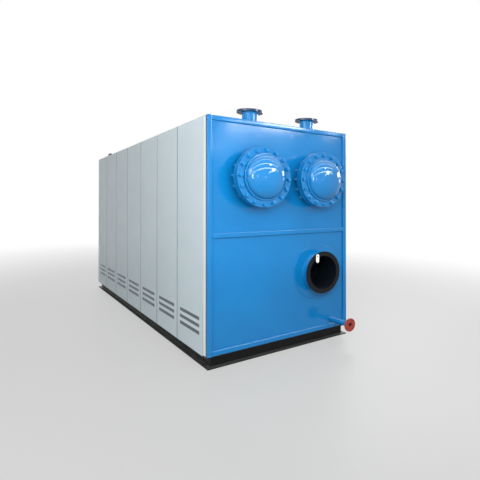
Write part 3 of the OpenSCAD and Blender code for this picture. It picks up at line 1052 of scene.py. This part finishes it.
@dataclass
class SidePanels:
    """The fourteen folded side sheets, with round folds, vent slots and slightly wavy skins, dark
    grey painted shade deep in the joints, and the welded wire screens behind the slots."""

    count: int = 7
    sheet_t: float = 0.002
    fold_r: float = 0.013
    fold_depth: float = 0.025
    joint_shade_depth: float = 0.0025
    base_z: float = 0.120
    slot_h: float = 0.039
    slot_z: tuple[float, ...] = (0.313, 0.3855, 0.458)
    slot_inset: float = 0.093
    wave: float = 0.0014
    louvre: float = 0.003
    louvre_run: float = 0.02
    wire_d: float = 0.0016
    wire_pitch: float = 0.006
    screen_lap: float = 0.012
    columns: int = 15
    rows: int = 30
    rows_from: float = 0.55
    fade_h: float = 0.15

    def build(self) -> None:
        """Builds each sheet in place of its CAD node, then all the screens as one piece."""
        wires = []
        for s, side in ((-1, "left"), (1, "right")):
            for i in range(1, self.count + 1):
                node = f"{side}_panel_{i}"
                low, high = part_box(node)
                skins = self.sheet(s, low, high, seed=10 * i + s)
                obj = piece(node + "_folded", skins, CASING, (node,), closed=False)
                # Faces deep in the folds at the joints take a dark grey: painted shade in the
                # joints.
                obj.data.materials.append(PANEL_JOINT_SHADE.material())
                outer = abs(low.x if s < 0 else high.x)
                for face in obj.data.polygons:
                    inset = min(face.center.y - low.y, high.y - face.center.y)
                    deep = outer - abs(face.center.x) > self.joint_shade_depth
                    face.material_index = int(deep and inset < self.fold_r)
                thickened(obj, self.sheet_t, 40)
                wires += self.screen(s, low, high)
        piece("vent_wire_screens", wires, WIRE, ("vent_screens",), sharp_deg=70)

    def sheet(self, s: int, low: Vector, high: Vector, seed: int) -> list[Patch]:
        """One sheet's outer skin. Across the sheet the profile runs from the inner edge of one
        fold, round a quarter circle, over the face and back the same way; up the sheet it is
        straight. The face sinks by the wave height times the product of a sine across and a
        slower sine up, faded out towards the folds. The strips between the slots are pressed in
        at the top, by the louvre depth along their middle and by nothing at the slots' ends.

        Args:
            s: -1 for the left side, 1 for the right.
            low: lowest corner of the CAD sheet.
            high: highest corner of the CAD sheet.
            seed: seed of the waves.

        Returns:
            Skin, bottom fold and top fold.
        """
        width, r = high.y - low.y, self.fold_r
        turn = np.linspace(0, np.pi / 2, 9)
        slot_ends = [self.slot_inset, width - self.slot_inset]
        runs = [slot_ends[0] + self.louvre_run, slot_ends[1] - self.louvre_run]
        face = np.linspace(r, width - r, self.columns)[1:-1]
        face = np.sort(np.concatenate([face, slot_ends, runs]))
        across = np.concatenate(
            [[0], r - r * np.cos(turn), face, width - r + r * np.sin(turn), [width]]
        )
        fold_in = r - r * np.sin(turn)
        sunk = np.concatenate(
            [[self.fold_depth], fold_in, 0 * face, r - r * np.cos(turn), [self.fold_depth]]
        )
        edges = [z + d * self.slot_h / 2 for z in self.slot_z for d in (-1, 1)]
        rows = np.linspace(self.rows_from, high.z, self.rows)
        up = np.concatenate([[low.z, self.base_z], edges, rows])
        rng = np.random.default_rng(100 + seed)
        a, b, c = rng.uniform(0, 2 * np.pi, 3)
        fade = np.sin(np.pi * across / width) * np.clip((high.z - up[:, None]) / self.fade_h, 0, 1)
        # The factors of across and up are radians per metre.
        wavy = np.sin(7 * across + a) * np.sin(5.5 * up[:, None] + b)
        wavy = wavy + 0.5 * np.sin(13 * up[:, None] + 4 * across + c)
        pressed = np.interp(across, [slot_ends[0], *runs, slot_ends[1]], [0, 1, 1, 0])
        strip_top = [z - self.slot_h / 2 for z in self.slot_z[1:]]
        is_top = np.isclose(up[:, None], strip_top).any(1)[:, None]
        depth = sunk + self.wave * fade * (1.5 + wavy) / 3 + self.louvre * pressed * is_top
        x = s * (abs(low.x if s < 0 else high.x) - depth)
        y = low.y + across + 0 * depth
        z = up[:, None] + 0 * depth
        middle_y = (across[1:] + across[:-1]) / 2
        middle_z = (up[1:] + up[:-1])[:, None] / 2
        in_slot = np.any(
            [abs(middle_z - level) < self.slot_h / 2 for level in self.slot_z], axis=0
        )
        gone = in_slot & (middle_y > slot_ends[0]) & (middle_y < slot_ends[1])
        in_fold = (middle_y < 0.5 * r) | (middle_y > width - 0.5 * r)
        gone = gone | (in_fold & (middle_z < self.base_z))
        skin = Patch(np.stack([x, y, z], -1), open_cells=gone, flip=s < 0)
        return [skin, self.lip(s, low, high, self.base_z, -1), self.lip(s, low, high, high.z, 1)]

    def lip(self, s: int, low: Vector, high: Vector, level: float, way: int) -> Patch:
        """Level fold along the bottom or the top of a sheet: a plane from the skin inwards.

        Args:
            s: -1 for the left side, 1 for the right.
            low: lowest corner of the CAD sheet.
            high: highest corner of the CAD sheet.
            level: height of the fold's outer face.
            way: 1 if that face looks up, -1 if it looks down.

        Returns:
            The fold's outer face.
        """
        outer = abs(low.x if s < 0 else high.x)
        reach = np.array([outer - self.sheet_t, outer - self.fold_depth])
        x, y = np.meshgrid(s * reach, [low.y + self.sheet_t, high.y - self.sheet_t], indexing="ij")
        points = np.stack([x, y, 0 * x + level], -1)
        return Patch(points, flip=s * way < 0)

    def screen(self, s: int, low: Vector, high: Vector) -> list[Patch]:
        """Welded wire behind one sheet's slots: upright wires against the sheet and level wires
        behind them, each a six-sided bar with closed ends.

        Args:
            s: -1 for the left side, 1 for the right.
            low: lowest corner of the CAD sheet.
            high: highest corner of the CAD sheet.

        Returns:
            The upright and the level wires.
        """
        inset = self.slot_inset - self.screen_lap
        y0, y1 = low.y + inset, high.y - inset
        margin = self.slot_h / 2 + self.screen_lap
        z0, z1 = self.slot_z[0] - margin, self.slot_z[-1] + margin
        front = s * (abs(low.x if s < 0 else high.x) - self.sheet_t - self.wave - self.wire_d / 2)
        rear = front - s * self.wire_d
        ups = np.arange(y0 + self.wire_pitch / 2, y1, self.wire_pitch)
        levels = np.arange(z0 + self.wire_pitch / 2, z1, self.wire_pitch)
        r = self.wire_d / 2
        upright = revolved([(0, 0), (r, 0), (r, z1 - z0), (0, z1 - z0)], 6)
        level = revolved([(0, 0), (r, 0), (r, y1 - y0), (0, y1 - y0)], 6)
        level.points = level.points @ np.array([(0, 0, 1), (1, 0, 0), (0, 1, 0)], float)
        spots = np.stack([front + 0 * ups, ups, z0 + 0 * ups], -1)
        lines = np.stack([rear + 0 * levels, y0 + 0 * levels, levels], -1)
        return [upright.copied(spots), level.copied(lines)]


@dataclass
class Casing:
    """The rest of the casing: corner posts, painted black as shade on their faces in the joint
    behind the end frames, roof sheets, and roof fittings, of which the pins at the front are bare
    zinc."""

    post_edge: float = 0.004
    roof_edge: float = 0.0015
    fitting_edge: float = 0.0012

    def build(self) -> None:
        """Eases the CAD nodes, gives the pins their own material, and paints shade on the posts'
        faces in the joints.
        """
        for end, way in (("front", -1), ("rear", 1)):
            # The posts' lighter paint is painted light.
            posts = eased(f"{end}_corner_posts", POST, self.post_edge)
            # The posts' faces towards the end frames, in the joint, are painted black as shade.
            touch_up(posts, POST_JOINT_SHADE, lambda face: face.normal.y * way > 0.9)
        eased("roof_sheets", ROOF, self.roof_edge)
        fittings = eased("roof_fittings", FITTING, self.fitting_edge)
        touch_up(fittings, ZINC, lambda face: face.center.y < 0)
        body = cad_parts["insulated_body"]
        body.data.materials.clear()
        body.data.materials.append(CLADDING.material())


@dataclass
class EndFrames:
    """The blue frames and sheets of both ends, and the gaskets of the covers."""

    bar_edge: float = 0.001

    def build(self) -> None:
        """Eases the bars and the sheets and paints the gaskets."""
        for end in ("front", "rear"):
            for part in ("stiles", "rails"):
                eased(f"{end}_{part}", ENAMEL, self.bar_edge)
            for part in ("upper_sheet", "lower_sheet"):
                eased(f"{end}_{part}", SHEET_ENAMEL)
        eased("cover_gaskets", GASKET)


@dataclass
class BaseFrame:
    """The channel base, in black chassis paint."""

    mill_edge: float = 0.0015

    def build(self) -> None:
        """Rounds the channels' edges as the rolling mill does."""
        for node in ("left", "right", "front", "rear"):
            eased(f"base_channel_{node}", CHASSIS, self.mill_edge)
        eased("base_cross_members", CHASSIS, self.mill_edge)


# Stage


@dataclass
class Viewpoint:
    """The photograph's camera, solved from the casing's edges, its joints and the bolt rings.

    Args:
        place: where the camera stands.
        turn: angles about X, Y and Z, in degrees.
        focal_px: focal length, in pixels of the picture.
        axis_px: where the optical axis meets the picture.
        picture: width and height of the picture, in pixels.
    """

    place: tuple[float, float, float] = (-2.496, -6.5725, 1.614)
    turn: tuple[float, float, float] = (90.43, 0.09, -40.22)
    focal_px: float = 411.2
    axis_px: tuple[float, float] = (340.0, 201.3)
    picture: int = 480
    sensor_mm: float = 36.0

    def build(self) -> None:
        """Makes the camera and sets it as the scene's."""
        data = bpy.data.cameras.new("photo_camera")
        data.sensor_width = self.sensor_mm
        data.lens = self.focal_px * self.sensor_mm / self.picture
        data.shift_x = 0.5 - self.axis_px[0] / self.picture
        data.shift_y = self.axis_px[1] / self.picture - 0.5
        data.clip_end = 300
        camera = added("photo_camera", data)
        camera.location = self.place
        camera.rotation_euler = [math.radians(a) for a in self.turn]
        bpy.context.scene.camera = camera


@dataclass(frozen=True)
class Softbox:
    """One studio lamp: a glowing rectangle.

    Args:
        name: name of the lamp.
        place: middle of the rectangle.
        target: the point that it faces.
        size: its width and height.
        power: its power in watts.
        mirrored: whether its image shows in gloss.
        lighting: whether it also lights matt surfaces.
    """

    name: str
    place: tuple[float, float, float]
    target: tuple[float, float, float]
    size: tuple[float, float]
    power: float
    mirrored: bool = True
    lighting: bool = True

    def build(self) -> None:
        """Makes the lamp."""
        data = bpy.data.lights.new(self.name, "AREA")
        data.shape = "RECTANGLE"
        data.size, data.size_y = self.size
        data.energy = self.power
        lamp = added(self.name, data)
        lamp.location = self.place
        lamp.visible_camera = False
        lamp.visible_glossy = self.mirrored
        lamp.visible_diffuse = self.lighting
        aim = Vector(self.target) - Vector(self.place)
        lamp.rotation_euler = aim.to_track_quat("-Z", "Y").to_euler()


@dataclass
class Studio:
    """Plain soft light, a white world and a pale floor that fades into it.

    Args:
        sky: strength of the world as a light.
        floor_colour: paint of the floor.
        floor_r: radius of the floor.
        haze: share of white that the eye sees in the floor close by.
        fade: distances at which the floor starts and ends to turn white.
        fade_y: scale of Y in those distances.
        lamps: the lamps, placed where the photo's dished heads mirror theirs.
    """

    sky: float = 0.18
    floor_colour: str = "#6b6d6a"
    floor_r: float = 60.0
    haze: float = 0.5
    fade: tuple[float, float] = (2.4, 8.0)
    fade_y: float = 0.55
    lamps: tuple[Softbox, ...] = (
        Softbox("key", (2.6, -6.8, 3.6), (0, -2.7, 1.7), (1.0, 0.5), 36),
        Softbox("key_high", (2.3, -6.8, 5.1), (0, -2.7, 1.7), (0.5, 0.5), 24),
        Softbox("rail_light", (4.05, -10.0, 4.2), (-0.3, -2.7, 2.4), (2.2, 0.22), 34),
        Softbox("near_left", (-1.0, -5.0, 2.1), (-0.3, -2.7, 1.8), (1.6, 1.2), 80, mirrored=False),
        Softbox("side_left", (-4.8, -3.8, 3.7), (-0.9, -1.5, 1.0), (3.0, 2.2), 104),
        Softbox("side_right", (7.5, 2.5, 4.6), (0.9, 0.5, 1.2), (5.0, 2.4), 270),
        Softbox("rear", (-1.5, 9.0, 4.8), (0, 2.7, 1.3), (4.0, 2.4), 440, mirrored=False),
        Softbox("glare", (2.95, -10.0, 3.8), (-0.6, -2.7, 2.2), (0.5, 0.35), 6),
        Softbox("glare_low", (2.5, -10.0, 3.3), (-0.6, -2.7, 2.2), (0.4, 0.4), 2),
        Softbox("window_left", (-4.4, -6.7, 2.2), (-0.2, -2.9, 1.9), (1.1, 1.6), 85),
        Softbox("strip_left", (-4.7, -5.0, 3.9), (-0.9, -5.0, 1.6), (7.0, 0.35), 34),
        Softbox("window_right", (5.0, -3.4, 2.95), (0.4, -2.9, 1.9), (1.9, 0.75), 70),
        Softbox("window_right_low", (5.0, -3.3, 2.0), (0.4, -2.9, 1.9), (1.2, 0.5), 10),
        Softbox("small_right", (3.2, -5.8, 3.2), (0, -2.9, 1.9), (0.22, 0.22), 3),
        Softbox("small_left", (-2.2, -8.7, 2.2), (0, -2.9, 1.9), (0.5, 0.4), 6),
        Softbox("far_window", (1.2, -10.2, 2.1), (0, -2.9, 1.9), (0.5, 0.4), 5),
        Softbox(
            "ceiling_1", (-1.0, -12.6, 6.3), (-2.9, -2.9, 1.9), (20.0, 0.5), 480, lighting=False
        ),
        Softbox(
            "ceiling_2", (-1.0, -8.45, 7.0), (-1.0, -2.9, 1.9), (20.0, 0.5), 330, lighting=False
        ),
        Softbox("ceiling_3", (-1.0, -5.33, 7.0), (-1.0, -2.9, 1.9), (20.0, 0.45), 190),
        Softbox("ceiling_4", (-1.0, -2.2, 7.0), (-1.0, -2.9, 1.9), (20.0, 0.6), 110),
    )

    def build(self) -> None:
        """Makes the lamps, the world and the floor."""
        for lamp in self.lamps:
            lamp.build()
        self.world()
        self.floor()

    def seen(self, tree: Any) -> Any:
        """1 for what the camera sees, also in gloss and through glass, and 0 for other light."""
        path = add_node(tree, "ShaderNodeLightPath").outputs
        share = maths(tree, "MAXIMUM", path["Is Camera Ray"], path["Is Glossy Ray"])
        return maths(tree, "MAXIMUM", share, path["Is Transmission Ray"])

    def world(self) -> None:
        """White where it is seen, and dimmer as a light."""
        world = bpy.data.worlds.new("white_studio")
        world.use_nodes = True
        tree = world.node_tree
        tree.nodes.clear()
        light = add_node(tree, "ShaderNodeBackground", inputs={0: WHITE, 1: self.sky}).outputs[0]
        white = add_node(tree, "ShaderNodeBackground", inputs={0: WHITE, 1: 1.0}).outputs[0]
        inputs = {0: self.seen(tree), 1: light, 2: white}
        mixed = add_node(tree, "ShaderNodeMixShader", inputs=inputs).outputs[0]
        add_node(tree, "ShaderNodeOutputWorld", inputs={0: mixed})
        bpy.context.scene.world = world

    def floor(self) -> None:
        """Level disc whose far part glows white to the eye, so that no horizon shows."""
        disc = revolved([(0, 0), (5, 0), (12, 0), (self.floor_r, 0)], 64)
        disc.flip = True
        points, cells = disc.faces()
        mesh = bpy.data.meshes.new("floor")
        mesh.from_pydata(points.tolist(), [], cells.tolist())
        material = bpy.data.materials.new("pale_floor")
        material.use_nodes = True
        tree = material.node_tree
        tree.nodes.clear()
        coords = add_node(tree, "ShaderNodeTexCoord").outputs["Object"]
        scaled = {0: coords, 1: (1, self.fade_y, 1)}
        oval = add_node(tree, "ShaderNodeVectorMath", {"operation": "MULTIPLY"}, scaled).outputs[0]
        length = add_node(tree, "ShaderNodeVectorMath", {"operation": "LENGTH"}, {0: oval})
        limits = (*self.fade, self.haze, 1.0)
        fade = mapped(tree, length.outputs["Value"], limits, interpolation_type="SMOOTHSTEP")
        share = maths(tree, "MULTIPLY", fade, self.seen(tree))
        matt = {"Base Color": linear(self.floor_colour), "Roughness": 0.5}
        paint = add_node(tree, "ShaderNodeBsdfPrincipled", inputs=matt).outputs[0]
        glow = add_node(tree, "ShaderNodeEmission", inputs={0: WHITE, 1: 1.0}).outputs[0]
        mixed = add_node(tree, "ShaderNodeMixShader", inputs={0: share, 1: paint, 2: glow})
        add_node(tree, "ShaderNodeOutputMaterial", inputs={0: mixed.outputs[0]})
        mesh.materials.append(material)
        obj = added("floor", mesh)
        obj.location.z = -0.001


def main() -> None:
    """Builds the stage and every sub-assembly in order."""
    logging.basicConfig(level=logging.INFO, format="%(message)s")
    bpy.context.scene.view_settings.view_transform = "Standard"
    parts = [
        Viewpoint(),
        Studio(),
        BaseFrame(),
        Casing(),
        SidePanels(),
        EndFrames(),
        DrumCover("left", 3.0),
        DrumCover("right"),
        Nozzle("left"),
        Nozzle("right"),
        FluePort(),
        Drain(),
    ]
    for part in parts:
        part.build()
        log.info("built %s", type(part).__name__)
    bpy.context.view_layer.update()


if __name__ == "__main__":
    main()
